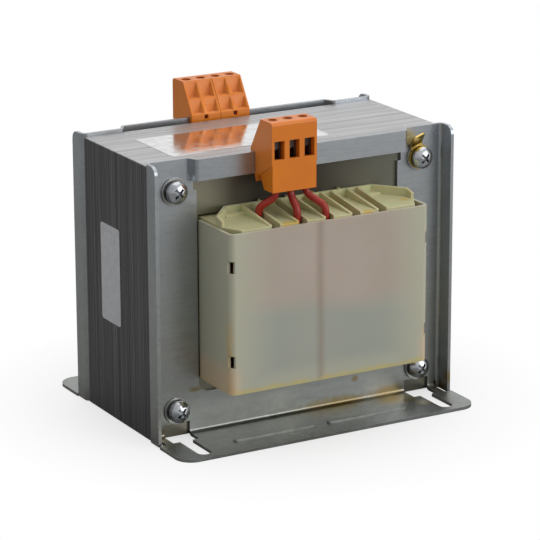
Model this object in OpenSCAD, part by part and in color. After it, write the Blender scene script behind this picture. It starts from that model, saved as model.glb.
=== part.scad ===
// Laminated chassis transformer, with two bent sheet mounting frames and
// terminal blocks that clip on the frames' top rails.
// Millimetres. X runs along the feet, -Y is the front, Z is up.
// The origin is at the centre of the footprint, on the underside of the feet.

/* [Core] */
// Width of the centre leg of the E sheets
tongue_w = 50; // [36:1:62]
// Width of each window beside the centre leg
window_w = 25; // [20:0.5:32]
// Height of the windows
window_h = 75; // [60:0.5:92]
// Width of each outer leg
leg_w = 25; // [20:0.5:31]
// Height of the upper and the lower yoke
yoke_h = 25; // [20:0.5:31]
// Thickness of the stack, front to back
stack_d = 61; // [48:0.5:80]
// Number of packs that the sheets are interleaved in
pack_count = 12; // [6:2:16]
// Air gap where an I sheet butts against the legs
butt_gap = 0.05; // [0.02:0.01:0.2]
// Varnish film between two packs
film = 0.02; // [0.01:0.01:0.1]
// Height of the core above the surface that the feet stand on
core_lift = 0.5; // [0.3:0.1:1.5]
// Diameter of the screw holes in the sheets
lam_hole_d = 7; // [6.4:0.1:8]

/* [Mounting frames] */
// Thickness of the galvanised sheet
sheet_t = 1.5; // [1:0.1:2]
// How far the frame stands out past each side of the core
frame_side = 1; // [0.5:0.1:2]
// How far the frame stands above the core
frame_rise = 1.5; // [0.5:0.1:3]
// Inner radius of the flange and foot bends
bend_r = 1.5; // [0.8:0.1:2.5]
// Reach of the side flanges from the face of the plate
flange_reach = 8.5; // [6:0.5:10]
// Radius on the top corner of each side flange
flange_round = 4; // [2:0.5:5]
// Reach of the feet from the face of the plate
foot_reach = 32; // [30:0.5:40]
// Corner radius of the feet
foot_round = 8; // [4:0.5:10]
// Height of the sill under the window
sill_h = 19.5; // [17:0.5:22]
// Corner radius at the foot of the window
window_round = 5; // [2:0.5:6]
// Height of the top rail
rail_h = 9.7; // [8:0.1:11]
// How far the top rail is stepped out from the plate
rail_out = 4.5; // [4:0.1:6]
// Width of the flat tab at each top corner
tab_w = 19.6; // [17:0.1:20]
// Slope of the step between tab and rail
step_angle = 60; // [45:1:75]
// Inner radius of the bends of the step
step_r = 0.6; // [0.4:0.1:1]
// Width and height of the relief at each end of the rail
relief_w = 1.7; // [1:0.1:2.5]
relief_h = 5; // [3:0.5:7]

/* [Fixing slots] */
// Width of the slots in the feet
slot_w = 6.5; // [5.5:0.1:7]
// Length of the slots, end to end
slot_l = 22; // [18:0.5:23]
// Distance from the face of the plate to the middle of the slots
slot_out = 17.5; // [17:0.1:19]
// Width of the keyhole notch that each slot opens into
key_w = 13; // [10:0.5:14]
// Reach of the notch from the face of the plate
key_out = 9; // [8:0.1:9.5]
// Height of the notch in the plate
key_up = 7; // [5:0.1:8]
// Length of each stiffening bead
bead_l = 41; // [30:1:44]
// Width of the beads
bead_w = 3; // [2:0.1:4]
// Height of the beads above the foot
bead_h = 0.7; // [0.4:0.1:1]
// Space between the two beads
bead_gap = 7; // [5:0.5:12]

/* [Coil former] */
// Gap between the core and the coil former's tube
tube_gap = 0.3; // [0.2:0.05:0.6]
// Wall of the tube
tube_wall = 2; // [1.2:0.1:2.5]
// Thickness of the end flanges
flange_t = 2.5; // [1.5:0.1:3]
// Gap between the flanges and the window's sides
coil_clear = 1.2; // [0.6:0.1:2]
// Reach of the flanges past the core's front and rear faces
coil_reach = 28.4; // [27:0.1:31]
// Number of lead slots at the front and at the rear
lead_slot_count = 5; // [3:2:5]
// Spacing of the lead slots
lead_slot_pitch = 13.5; // [12:0.5:14]
// Width of a lead slot
lead_slot_w = 4; // [3.6:0.1:4.5]
// Height of the wall in front of the yoke, above the flange
wall_rise = 3.8; // [2:0.1:5]
// Thickness of that wall
wall_t = 1.8; // [1.2:0.1:2]
// Gap between the yoke and that wall
wall_gap = 0.6; // [0.4:0.1:1]
// Thickness of the ribs beside the lead slots
rib_t = 1.3; // [0.8:0.1:1.5]

/* [Windings] */
// Build of the primary winding
primary_build = 9.4; // [5:0.1:10]
// Build of the secondary winding
secondary_build = 8; // [4:0.1:9]
// Thickness of the insulation between the windings
layer_t = 0.8; // [0.3:0.1:1]
// Thickness of the outer wrap
wrap_t = 0.6; // [0.3:0.1:1]
// Gap between the windings and the flanges
winding_gap = 0.2; // [0.1:0.05:0.5]

/* [Coil covers] */
// Wall of the snap-on covers
cover_wall = 1.4; // [1:0.1:1.8]
// Fit between a cover and the flanges
cover_fit = 0.15; // [0.1:0.05:0.3]
// How far a cover sits below the top flange
cover_drop = 0.9; // [0.4:0.1:1.2]
// Outer radius of the cover's upright edges
cover_round = 3; // [2:0.5:4]
// Gap between a cover and the sides of the frame's window
cover_gap = 1.05; // [0.6:0.05:1.5]
// Height of the snap windows
catch_h = 5.5; // [4:0.1:7]
// Distance of the snap windows from the cover's ends
catch_inset = 12.2; // [8:0.1:16]

/* [Fasteners] */
// Diameter of the clamping screws
screw_d = 5; // [4:1:5]
// Diameter and height of the screw heads
head_d = 10; // [9:0.1:11]
head_h = 3.6; // [3:0.1:4]
// Clearance hole in the frames
frame_hole_d = 5.6; // [5.4:0.1:6.2]
// Diameter and thickness of the flat washers
washer_d = 12.5; // [11:0.1:13]
washer_t = 1; // [0.8:0.1:1.6]
// Diameter and thickness of the spring washers
spring_d = 9.2; // [8.5:0.1:10]
spring_t = 1.3; // [1:0.1:1.6]
// Width across flats and height of the nuts
nut_af = 8; // [7:0.5:9]
nut_h = 4; // [3:0.1:5]
// Gap between threads, washers and the screw
thread_fit = 0.1; // [0.05:0.01:0.2]
// Thread showing past the nuts
screw_end = 2; // [1:0.5:6]
// Thickness of the earth tab
earth_t = 0.8; // [0.5:0.1:1]
// Width of the earth tab
earth_w = 6.3; // [4.8:1.5:6.3]
// Length of the earth tab past its bend
earth_l = 8; // [7:0.5:9]
// How far the earth tab is turned on its screw
earth_turn = 20; // [0:1:30]

/* [Terminal blocks] */
// Spacing of the poles
pole_pitch = 7.5; // [7:0.1:8]
// Poles in the front block
front_poles = 3; // [2:1:4]
// Poles in each of the two rear blocks
rear_poles = 2; // [1:1:3]
// Middle of the front block along the rail
front_block_x = -13.5; // [-18:0.5:18]
// Middle of the two rear blocks along the rail
rear_block_x = -4; // [-12:0.5:12]
// Gap between the two rear blocks
block_gap = 0.2; // [0.1:0.1:1]
// Height of a block above the rail
block_rise = 15.5; // [14:0.1:17]
// Reach of a block in front of the rail
block_out = 15; // [14.5:0.1:16]
// Depth of the flat top of a block
block_top_d = 10; // [9:0.1:11]
// How far the skirt of a block hangs below the top of the rail
skirt_drop = 15.5; // [14.5:0.1:17]
// Clearance round the rail
rail_fit = 0.1; // [0.05:0.01:0.2]
// Width and height of a wire entry
entry_w = 5; // [4.6:0.1:5.2]
entry_h = 8.2; // [7:0.1:8.4]

/* [Leads] */
// Diameter of the insulated leads
lead_d = 3.3; // [2.4:0.1:3.4]

/* [Labels] */
// Thickness of the blank rating plates
label_t = 0.15; // [0.1:0.05:0.3]
// Length and width of the plate on top
top_label_l = 80; // [60:1:100]
top_label_w = 35; // [25:0.5:45]
// Height and width of the plate on the left side
side_label_h = 45; // [35:0.5:60]
side_label_w = 18.6; // [12:0.1:30]

/* [Hidden] */
$fn = 48;
cut = 1;             // how far cutting bodies reach past a face

core_w = tongue_w + 2 * (window_w + leg_w);
core_h = window_h + 2 * yoke_h;
core_y = stack_d / 2;
core_top = core_lift + core_h;
hole_x = (core_w - leg_w) / 2;
hole_z = [core_lift + yoke_h / 2, core_top - yoke_h / 2];
pack_t = (stack_d - (pack_count - 1) * film) / pack_count;

plate_y = core_y + sheet_t;          // front face of the plate
frame_x = core_w / 2 + frame_side;   // outer face of the side flanges
frame_top = core_top + frame_rise;
rail_y = plate_y + rail_out;         // front face of the rail
rail_z = frame_top - rail_h;         // underside of the rail
tab_end = frame_x - tab_w;           // where the tabs end and the steps start
lap = 1;                             // how far joined bodies run into each other
relief = 1;                          // slit between a flange and the foot
flange_foot = 0.6;                   // underside of the flanges
foot_in_x = frame_x - sheet_t - bend_r - relief / 2;
relief_x = foot_in_x + relief;
relief_z = sheet_t + bend_r + relief;
bead_out = 19.5;                     // beads, from the face of the plate

flange_x = tongue_w / 2 + window_w - coil_clear;
flange_y = core_y + coil_reach;
former_z = [core_lift + yoke_h + coil_clear, core_top - yoke_h - coil_clear];
tube_x = tongue_w / 2 + tube_gap + tube_wall;
tube_y = core_y + tube_gap + tube_wall;
tube_round = 1.5;
winding_z = [former_z[0] + flange_t + winding_gap,
             former_z[1] - flange_t - winding_gap];
layer_fit = 0.1;     // between one layer and the next
primary_in = layer_fit;
layer_in = primary_in + primary_build + layer_fit;
secondary_in = layer_in + layer_t + layer_fit;
wrap_in = secondary_in + secondary_build + layer_fit;
wrap_y = tube_y + wrap_in + wrap_t;

wall_y = core_y + wall_gap;          // back face of the wall before the yoke
wall_top = former_z[1] + wall_rise;
wall_x = 41.5;
tooth_x = (lead_slot_count - 1) / 2 * lead_slot_pitch;
slot_root = wall_y + wall_t + 2.6;   // where the lead slots start
flange_cut = [5, 9];                 // what is cut off the flanges' corners
rim_back = 12;                       // where the rims reach the flanges' sides
ledge_in = tooth_x + lead_slot_w / 2 + rib_t;
ledge_out = wall_x - 2;
secondary_y = tube_y + secondary_in + secondary_build / 2 - 4;

cover_x = flange_x + cover_fit + cover_wall;
cover_y = flange_y + cover_fit + cover_wall;
cover_z = [former_z[0] - cover_drop, former_z[1] - cover_drop];
cover_back = 0.7;                    // gap between a cover and the core
window_x = cover_x + cover_gap;      // half the window of the frame

stack_out = plate_y + washer_t + spring_t;
screw_in = plate_y + washer_t + spring_t + nut_h + screw_end;
screw_bore = screw_d + 2 * thread_fit;

block_back = 3.9;                    // reach of a block behind the rail's face
lip_drop = 6;
knee_z = 1.2;
seam_z = -3.4;                       // front end of the seam over the skirt
leg_out = 2;
skirt_foot = 7.5;
entry_z = -1;
skirt_step = 0.3;
cage_w = 5;
cage_d = 5.4;
cage_h = 9;
cage_wall = 0.8;
cage_fit = 0.2;
cage_out = 8.8;                      // middle of a cage, from the rail's face
cage_foot = -2.1;                    // underside of a cage, from the rail's top
cavity_w = cage_w + 2 * cage_fit;
block_wall = 1.8;
driver_d = 4.4;
clamp_head_d = 4;
clamp_d = 2.9;
lead_out = 11.5;                     // middle of a lead in its block

// ---------------------------------------------------------------- helpers

// Rounded rectangle round the origin
module rounded(w, d, r) {
    square([w - 2 * r, d], center = true);
    square([w, d - 2 * r], center = true);
    for (x = [-1, 1], y = [-1, 1])
        translate([x * (w / 2 - r), y * (d / 2 - r)]) circle(r);
}

// What a radius takes off the corner at the origin of the first quadrant
module corner_off(r) {
    translate([-r, -r]) difference() {
        square(r + cut);
        circle(r);
    }
}

// Slot with round ends, along Y
module obround(w, l) {
    square([w, l - w], center = true);
    for (y = [-1, 1]) translate([0, y * (l - w) / 2]) circle(d = w);
}

// One bend of a folded strip that has its outer face on the X axis
module bend(t, r, a) {
    c = a < 0 ? -r : t + r;
    start = a < 0 ? 90 : -90;
    far = 3 * (r + t);
    translate([0, c]) intersection() {
        difference() {
            circle(r + t);
            circle(r);
        }
        polygon([[0, 0],
                 far * [cos(start), sin(start)],
                 far * [cos(start + a / 2), sin(start + a / 2)],
                 far * [cos(start + a), sin(start + a)]]);
    }
}

// Section of a folded strip: each step is [straight length, turn, inner radius]
module folded(steps, t, i = 0) {
    if (i < len(steps)) {
        s = steps[i];
        c = s[1] < 0 ? -s[2] : t + s[2];
        square([s[0], t]);
        translate([s[0], 0]) {
            if (s[1] != 0) bend(t, s[2], s[1]);
            translate([0, c]) rotate(s[1]) translate([0, -c])
                folded(steps, t, i + 1);
        }
    }
}

// Extrudes a profile drawn as [outwards, up] along X, centred
module across(l) {
    rotate([90, 0, -90]) translate([0, 0, -l / 2]) linear_extrude(l) children();
}

// Extrudes a profile drawn as [x, z] from y1 to y2
module frontal(y1, y2) {
    translate([0, y2, 0]) rotate([90, 0, 0]) linear_extrude(y2 - y1) children();
}

module between(z) {
    translate([0, 0, z[0]]) linear_extrude(z[1] - z[0]) children();
}

module at_screws() {
    for (x = [-1, 1], k = [0, 1])
        translate([x * hole_x, 0, hole_z[k]]) children();
}

module ring(d_out, d_in, y1, y2) {
    frontal(y1, y2) difference() {
        circle(d = d_out);
        circle(d = d_in);
    }
}

// ---------------------------------------------------------------- core

module pack(i) {
    y = -core_y + i * (pack_t + film);
    frontal(y, y + pack_t) children();
}

// An E sheet with its yoke at the bottom, or turned over
module e_sheet(turned) {
    translate([0, turned ? core_top : core_lift]) mirror([0, turned ? 1 : 0])
        difference() {
            translate([-core_w / 2, 0]) square([core_w, yoke_h + window_h]);
            for (x = [-1, 1]) {
                translate([x * (tongue_w + window_w) / 2 - window_w / 2, yoke_h])
                    square([window_w, window_h + cut]);
                translate([x * hole_x, yoke_h / 2]) circle(d = lam_hole_d);
            }
        }
}

module i_sheet(turned) {
    translate([0, turned ? core_lift : core_top]) mirror([0, turned ? 0 : 1])
        difference() {
            translate([-core_w / 2, 0]) square([core_w, yoke_h - butt_gap]);
            for (x = [-1, 1])
                translate([x * hole_x, yoke_h / 2]) circle(d = lam_hole_d);
        }
}

module core_e_laminations() {
    color("dimgray")
        for (i = [0 : pack_count - 1]) pack(i) e_sheet(i % 2 == 1);
}

module core_i_laminations() {
    color("gray")
        for (i = [0 : pack_count - 1]) pack(i) i_sheet(i % 2 == 1);
}

// ---------------------------------------------------------------- frames

// Plate and side flanges, seen from above
module frame_section() {
    for (s = [0, 1]) mirror([s, 0]) translate([-lap, -plate_y])
        folded([[lap + frame_x - sheet_t - bend_r, -90, bend_r],
                [flange_reach - bend_r, 0, 0]], sheet_t);
}

// Top rail with its two steps, seen from above
module rail_section() {
    mean_r = step_r + sheet_t / 2;
    slope = (rail_out - 2 * mean_r * (1 - cos(step_angle))) / sin(step_angle);
    run = 2 * mean_r * sin(step_angle) + slope * cos(step_angle);
    for (s = [0, 1]) mirror([s, 0]) translate([-tab_end - lap, -plate_y])
        folded([[lap, -step_angle, step_r],
                [slope, step_angle, step_r],
                [tab_end - run + lap, 0, 0]], sheet_t);
}

// Foot with the bend that joins it to the plate, drawn as [outwards, up]
module foot_section() {
    translate([plate_y + foot_reach, 0]) mirror([1, 0])
        folded([[foot_reach - bend_r, 90, bend_r],
                [relief_z + lap - sheet_t - bend_r, 0, 0]], sheet_t);
}

// Window, open to the top between the tabs, drawn as [x, z]
module window_cut() {
    difference() {
        translate([-window_x, sill_h]) square([2 * window_x, rail_z - sill_h]);
        for (c = [[1, -90], [-1, 180]])
            translate([c[0] * window_x, sill_h]) rotate(c[1])
                corner_off(window_round);
    }
    for (x = [-1, 1])
        translate([x * window_x - relief_w, rail_z - relief_h])
            square([2 * relief_w, relief_h]);
    translate([-tab_end, rail_z]) square([2 * tab_end, rail_h + cut]);
}

module fixing_slots() {
    for (x = [-1, 1]) translate([x * hole_x, 0]) {
        between([-cut, sheet_t + cut])
            translate([0, -plate_y - slot_out]) obround(slot_w, slot_l);
        translate([-key_w / 2, -plate_y - key_out, -cut])
            cube([key_w, key_out + sheet_t + cut, key_up + cut]);
    }
}

module beads(width, z) {
    for (x = [-1, 1])
        between(z) translate([x * (bead_l + bead_gap) / 2, -plate_y - bead_out])
            rotate(90) obround(width, bead_l - bead_w + width);
}

module plate_and_flanges() {
    difference() {
        between([flange_foot, frame_top]) frame_section();
        frontal(-plate_y - cut, -core_y + cut) {
            window_cut();
            translate([-relief_x, 0]) square([2 * relief_x, relief_z]);
        }
        across(2 * (frame_x + cut))
            translate([plate_y + flange_reach, frame_top]) corner_off(flange_round);
    }
}

module foot() {
    side_gap = frame_x - foot_in_x;
    difference() {
        across(2 * frame_x) foot_section();
        for (x = [-1, 1]) {
            translate([x > 0 ? foot_in_x : -frame_x - cut,
                       -plate_y - flange_reach - relief, -cut])
                cube([side_gap + cut, flange_reach + relief + sheet_t + cut,
                      relief_z + 2 * cut]);
            between([-cut, sheet_t + cut])
                translate([x * frame_x, -plate_y - foot_reach])
                    rotate(x > 0 ? -90 : 180) corner_off(foot_round);
        }
        beads(bead_w - 2 * bead_h, [-cut, bead_h]);
    }
    beads(bead_w, [sheet_t - bead_h / 2, sheet_t + bead_h]);
}

// One frame, standing at the front of the core
module frame() {
    difference() {
        union() {
            plate_and_flanges();
            between([rail_z, frame_top]) rail_section();
            foot();
        }
        fixing_slots();
        at_screws() ring(frame_hole_d, 0, -plate_y - cut, -core_y + cut);
    }
}

module front_frame() {
    color("silver") frame();
}

module rear_frame() {
    color("silver") rotate(180) frame();
}

// ---------------------------------------------------------------- coil

module tube_bore() {
    square([2 * (tube_x - tube_wall), 2 * (tube_y - tube_wall)], center = true);
}

module flange_outline() {
    in_x = flange_x - flange_cut[0];
    in_y = flange_y - flange_cut[1];
    polygon([[-in_x, -flange_y], [in_x, -flange_y], [flange_x, -in_y],
             [flange_x, in_y], [in_x, flange_y], [-in_x, flange_y],
             [-flange_x, in_y], [-flange_x, -in_y]]);
}

module lead_slots() {
    for (i = [0 : lead_slot_count - 1])
        translate([i * lead_slot_pitch - tooth_x - lead_slot_w / 2, -flange_y - cut])
            square([lead_slot_w, flange_y - slot_root + cut]);
}

// Wall in front of the yoke, with a small peak over each tooth
module yoke_wall() {
    peak = 1;
    frontal(-wall_y - wall_t, -wall_y) {
        polygon([[-wall_x, former_z[1] - lap], [wall_x, former_z[1] - lap],
                 [wall_x, former_z[1]], [wall_x - wall_rise, wall_top],
                 [-wall_x + wall_rise, wall_top], [-wall_x, former_z[1]]]);
        for (i = [0 : lead_slot_count - 2])
            translate([(i + 0.5) * lead_slot_pitch - tooth_x, wall_top])
                polygon([[-peak, -peak], [peak, -peak], [0, peak]]);
    }
}

// Ribs along the lead slots, as they stand on the flange
module slot_ribs() {
    for (i = [0 : lead_slot_count - 1], s = [-1, 1])
        translate([i * lead_slot_pitch - tooth_x
                   + s * (lead_slot_w + rib_t) / 2 - rib_t / 2, -flange_y])
            square([rib_t, flange_y - wall_y - wall_t / 2]);
}

// Rim round the outer corner of each end plate
module end_rims() {
    back = [wall_x - wall_rise, wall_y];
    knee = [flange_x, wall_y + wall_t + rim_back];
    toe = [flange_x, flange_y - flange_cut[1]];
    for (s = [-1, 1])
        polygon([[s * back[0], -back[1]], [s * knee[0], -knee[1]],
                 [s * toe[0], -toe[1]], [s * (toe[0] - rib_t), -toe[1]],
                 [s * (knee[0] - rib_t), -knee[1] - rib_t / 2],
                 [s * (back[0] - 2 * rib_t), -back[1]]]);
}

// Side view of what stands on the flange: flat up to knee, then down to the edge
module ramp(knee) {
    across(2 * flange_x)
        polygon([[wall_y, former_z[1] - lap], [wall_y, wall_top],
                 [knee, wall_top], [flange_y, former_z[1] + 0.5],
                 [flange_y, former_z[1] - lap]]);
}

module coil_former() {
    ledge_d = 4;
    ledge_h = 1;
    color("ivory") {
        difference() {
            union() {
                between(former_z) rounded(2 * tube_x, 2 * tube_y, tube_round);
                between([former_z[0], former_z[0] + flange_t]) flange_outline();
                between([former_z[1] - flange_t, former_z[1]]) flange_outline();
                for (turn = [0, 180]) rotate(turn) {
                    yoke_wall();
                    intersection() {
                        between([former_z[1] - lap, wall_top]) slot_ribs();
                        ramp(wall_y + wall_t);
                    }
                    intersection() {
                        between([former_z[1] - lap, wall_top]) end_rims();
                        ramp(wall_y + wall_t + rim_back);
                    }
                    for (s = [-1, 1])
                        translate([s > 0 ? ledge_in : -ledge_out,
                                   -wall_y - wall_t - ledge_d, former_z[1] - lap])
                            cube([ledge_out - ledge_in, ledge_d + lap,
                                  lap + ledge_h]);
                }
            }
            between([former_z[0] - cut, former_z[1] + cut]) tube_bore();
            for (turn = [0, 180]) rotate(turn)
                between([former_z[1] - flange_t - lap / 2, wall_top + cut])
                    lead_slots();
        }
    }
}

// One layer round the tube, from an inner offset outwards
module wound(inner, build) {
    between(winding_z) difference() {
        rounded(2 * (tube_x + inner + build), 2 * (tube_y + inner + build),
                tube_round + inner + build);
        rounded(2 * (tube_x + inner), 2 * (tube_y + inner), tube_round + inner);
    }
}

module primary_winding() {
    color("chocolate") wound(primary_in, primary_build);
}

module layer_insulation() {
    color("khaki") wound(layer_in, layer_t);
}

module secondary_winding() {
    color("sienna") wound(secondary_in, secondary_build);
}

module outer_wrap() {
    color("darkkhaki") wound(wrap_in, wrap_t);
}

// Snap-on cover of the coil's front, open at the top, bottom and back
module cover() {
    inner = 2 * (cover_wall);
    catch_side = 2.2;
    catch_back = 3;
    difference() {
        between(cover_z) intersection() {
            difference() {
                rounded(2 * cover_x, 2 * cover_y, cover_round);
                rounded(2 * cover_x - inner, 2 * cover_y - inner,
                        cover_round - cover_wall);
            }
            translate([-cover_x - cut, -cover_y - cut])
                square([2 * (cover_x + cut), cover_y - core_y + cut - cover_back]);
        }
        for (x = [-1, 1], z = [cover_z[0] + catch_inset,
                               cover_z[1] - catch_inset - catch_h])
            translate([x > 0 ? cover_x - catch_side : -cover_x - cut,
                       -cover_y - cut, z])
                cube([catch_side + cut, catch_back + cut, catch_h]);
    }
}

module front_coil_cover() {
    color("antiquewhite") cover();
}

module rear_coil_cover() {
    color("antiquewhite") rotate(180) cover();
}

// ---------------------------------------------------------------- fasteners

// The earth tab lies under one screw, which stands out by its thickness
function tab_under(x, k) = (x == 1 && k == 1) ? earth_t : 0;

module clamp_screw(extra) {
    dome_r = 6.4;
    recess = [5.2, 1.1, 2.2];
    rotate([90, 0, 0]) translate([0, 0, stack_out + extra]) difference() {
        union() {
            intersection() {
                cylinder(d = head_d, h = head_h);
                translate([0, 0, head_h - dome_r]) sphere(dome_r);
            }
            translate([0, 0, -stack_out - screw_in - extra])
                cylinder(d = screw_d, h = stack_out + screw_in + extra + lap / 2);
        }
        for (turn = [45, 135]) rotate(turn)
            translate([-recess[0] / 2, -recess[1] / 2, head_h - recess[2]])
                cube([recess[0], recess[1], recess[2] + cut]);
    }
}

module clamp_screws() {
    color("gainsboro")
        for (x = [-1, 1], k = [0, 1])
            translate([x * hole_x, 0, hole_z[k]]) clamp_screw(tab_under(x, k));
}

module screw_sleeves() {
    color("burlywood") at_screws()
        ring(lam_hole_d - 2 * thread_fit, screw_bore, -core_y, core_y);
}

module front_flat_washers() {
    color("silver") at_screws()
        ring(washer_d, screw_bore, -plate_y - washer_t, -plate_y);
}

module rear_flat_washers() {
    color("silver") at_screws()
        ring(washer_d, screw_bore, plate_y, plate_y + washer_t);
}

// Split spring washer that starts at y and rises outwards
module spring_washer(y) {
    split = 1;
    difference() {
        ring(spring_d, screw_bore, y, y + spring_t);
        rotate([0, 30, 0]) translate([0, y - cut, -split / 2])
            cube([spring_d, spring_t + 2 * cut, split]);
    }
}

module front_spring_washers() {
    color("gray")
        for (x = [-1, 1], k = [0, 1])
            translate([x * hole_x, 0, hole_z[k]])
                spring_washer(-stack_out - tab_under(x, k));
}

module rear_spring_washers() {
    color("gray") at_screws() spring_washer(plate_y + washer_t);
}

module clamp_nuts() {
    color("silver") at_screws()
        frontal(stack_out, stack_out + nut_h) difference() {
            circle(d = nut_af / cos(30), $fn = 6);
            circle(d = screw_bore);
        }
}

// Ring under the screw, bent out into a plug-on tab
module earth_tab() {
    ring_d = 11;
    neck = 6;
    bend_in = 0.8;
    lean = 45;
    tip = 1;
    hole_d = 1.8;
    hole_back = 3.2;
    mid = earth_t + bend_in;
    color("goldenrod")
        translate([hole_x, 0, hole_z[1]]) rotate([90, 0, 0])
            translate([0, 0, plate_y + washer_t]) rotate(earth_turn) {
                linear_extrude(earth_t) difference() {
                    union() {
                        circle(d = ring_d);
                        translate([-earth_w / 2, 0]) square([earth_w, neck]);
                    }
                    circle(d = screw_bore);
                }
                translate([-earth_w / 2, neck, 0]) rotate([90, 0, 90])
                    linear_extrude(earth_w) bend(earth_t, bend_in, lean);
                translate([0, neck, mid]) rotate([lean, 0, 0])
                    translate([0, 0, -mid]) linear_extrude(earth_t) difference() {
                        polygon([[-earth_w / 2, 0], [earth_w / 2, 0],
                                 [earth_w / 2, earth_l - tip],
                                 [earth_w / 2 - tip, earth_l],
                                 [-earth_w / 2 + tip, earth_l],
                                 [-earth_w / 2, earth_l - tip]]);
                        translate([0, earth_l - hole_back]) circle(d = hole_d);
                    }
            }
}

// ---------------------------------------------------------------- terminals
// Blocks are drawn as [outwards from the rail's face, up from the rail's top].

module block_upper() {
    groove = -sheet_t - rail_fit;
    under = -rail_h - rail_fit;
    nose = 0.8;
    difference() {
        polygon([[block_out, seam_z], [block_out, block_rise],
                 [block_out - block_top_d, block_rise],
                 [-block_back, knee_z],
                 [-block_back, nose - lip_drop], [nose - block_back, -lip_drop],
                 [groove, -lip_drop], [groove, rail_fit],
                 [rail_fit, rail_fit], [rail_fit, under],
                 [-nose, under], [nose, under - 3.4],
                 [leg_out, under - 2.6], [leg_out, under - 0.5]]);
        translate([block_out, block_rise]) corner_off(1.5);
    }
}

module block_skirt() {
    polygon([[block_out, 0], [block_out, -skirt_drop],
             [skirt_foot, -skirt_drop], [skirt_foot - 3.3, -skirt_drop + 5.7],
             [skirt_foot - 3.3, seam_z]]);
}

module skirt_pocket() {
    front = block_out - 1.4;
    roof = cage_foot - cage_fit - block_wall;
    side = skirt_foot - 3.3 + block_wall;
    low = -skirt_drop + 5.7;
    polygon([[front, roof], [front, -skirt_drop - cut],
             [side + (low + skirt_drop + cut) * 3.3 / 5.7, -skirt_drop - cut],
             [side, low], [side, roof]]);
}

module cavity() {
    back = cage_out - cage_d / 2 - cage_fit;
    low = cage_foot - cage_fit;
    translate([back, low])
        square([block_out - block_wall - back, cage_h + 2 * cage_fit]);
}

// Stepped pockets in the sloping back, one over the other
module back_pockets() {
    upper = block_out - block_top_d - 0.4;
    shelf = 8;
    lower = -0.1;
    foot_z = 1.6;
    translate([upper - 20, shelf]) square([20, 20]);
    translate([lower - 20, foot_z]) square([20, shelf - 0.5 - foot_z]);
}

module at_poles(poles) {
    for (i = [0 : poles - 1])
        translate([(i - (poles - 1) / 2) * pole_pitch, 0, 0]) children();
}

module housing(poles) {
    funnel_d = driver_d + 1.8;
    funnel_h = 1.6;
    latch = 2;
    w = poles * pole_pitch;
    difference() {
        union() {
            across(w) block_upper();
            across(w - 2 * skirt_step) block_skirt();
        }
        at_poles(poles) {
            across(cavity_w) cavity();
            across(entry_w)
                translate([block_out - block_wall - cut, entry_z])
                    square([block_wall + 2 * cut, entry_h]);
            across(pole_pitch - 1.2) skirt_pocket();
            across(pole_pitch - block_wall) back_pockets();
            translate([0, -lead_out, -skirt_drop])
                cylinder(d = lead_d + 0.4, h = skirt_drop + cage_foot);
            translate([0, -cage_out, 0]) {
                cylinder(d = driver_d, h = block_rise + cut);
                translate([0, 0, block_rise - funnel_h])
                    cylinder(d1 = driver_d, d2 = funnel_d, h = funnel_h);
                translate([0, 0, block_rise - lap / 100])
                    cylinder(d = funnel_d, h = cut);
            }
        }
        if (poles > 1)
            for (i = [1 : poles - 1])
                translate([(i - poles / 2) * pole_pitch - latch / 2, 0, -latch / 2])
                    cube([latch, block_back + cut, latch]);
    }
}

module cages(poles) {
    throat = [cage_w - 2 * cage_wall, 4.2];
    at_poles(poles) translate([0, -cage_out, cage_foot]) difference() {
        translate([-cage_w / 2, -cage_d / 2, 0]) cube([cage_w, cage_d, cage_h]);
        translate([-throat[0] / 2, -cage_d / 2 - cut, cage_wall])
            cube([throat[0], cage_d + 2 * cut, throat[1]]);
        cylinder(d = clamp_d + 2 * thread_fit, h = cage_h + cut);
    }
}

module cage_screws(poles) {
    head_z = cage_foot + cage_h + cage_fit + 1.6;
    head = 2.2;
    tip_z = cage_foot + 4.2;
    slot = [0.8, 1];
    at_poles(poles) translate([0, -cage_out, 0]) difference() {
        union() {
            translate([0, 0, tip_z])
                cylinder(d = clamp_d, h = head_z - tip_z + head / 2);
            translate([0, 0, head_z]) cylinder(d = clamp_head_d, h = head);
        }
        translate([-clamp_head_d, -slot[0] / 2, head_z + head - slot[1]])
            cube([2 * clamp_head_d, slot[0], slot[1] + cut]);
    }
}

module on_front_rail() {
    translate([front_block_x, -rail_y, frame_top]) children();
}

module on_rear_rail(side) {
    x = rear_block_x + side * (rear_poles * pole_pitch + block_gap) / 2;
    translate([x, rail_y, frame_top]) rotate(180) children();
}

module front_terminal_housing() {
    color("darkorange") on_front_rail() housing(front_poles);
}

module front_terminal_cages() {
    color("lightgray") on_front_rail() cages(front_poles);
}

module front_terminal_screws() {
    color("silver") on_front_rail() cage_screws(front_poles);
}

module rear_terminal_housing_left() {
    color("darkorange") on_rear_rail(-1) housing(rear_poles);
}

module rear_terminal_housing_right() {
    color("darkorange") on_rear_rail(1) housing(rear_poles);
}

module rear_terminal_cages() {
    color("lightgray") for (s = [-1, 1]) on_rear_rail(s) cages(rear_poles);
}

module rear_terminal_screws() {
    color("silver") for (s = [-1, 1]) on_rear_rail(s) cage_screws(rear_poles);
}

// ---------------------------------------------------------------- leads

function unit(v) = v / norm(v);
function curve(a, b, c, d, t) =
    pow(1 - t, 3) * a + 3 * pow(1 - t, 2) * t * b
    + 3 * (1 - t) * pow(t, 2) * c + pow(t, 3) * d;

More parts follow.
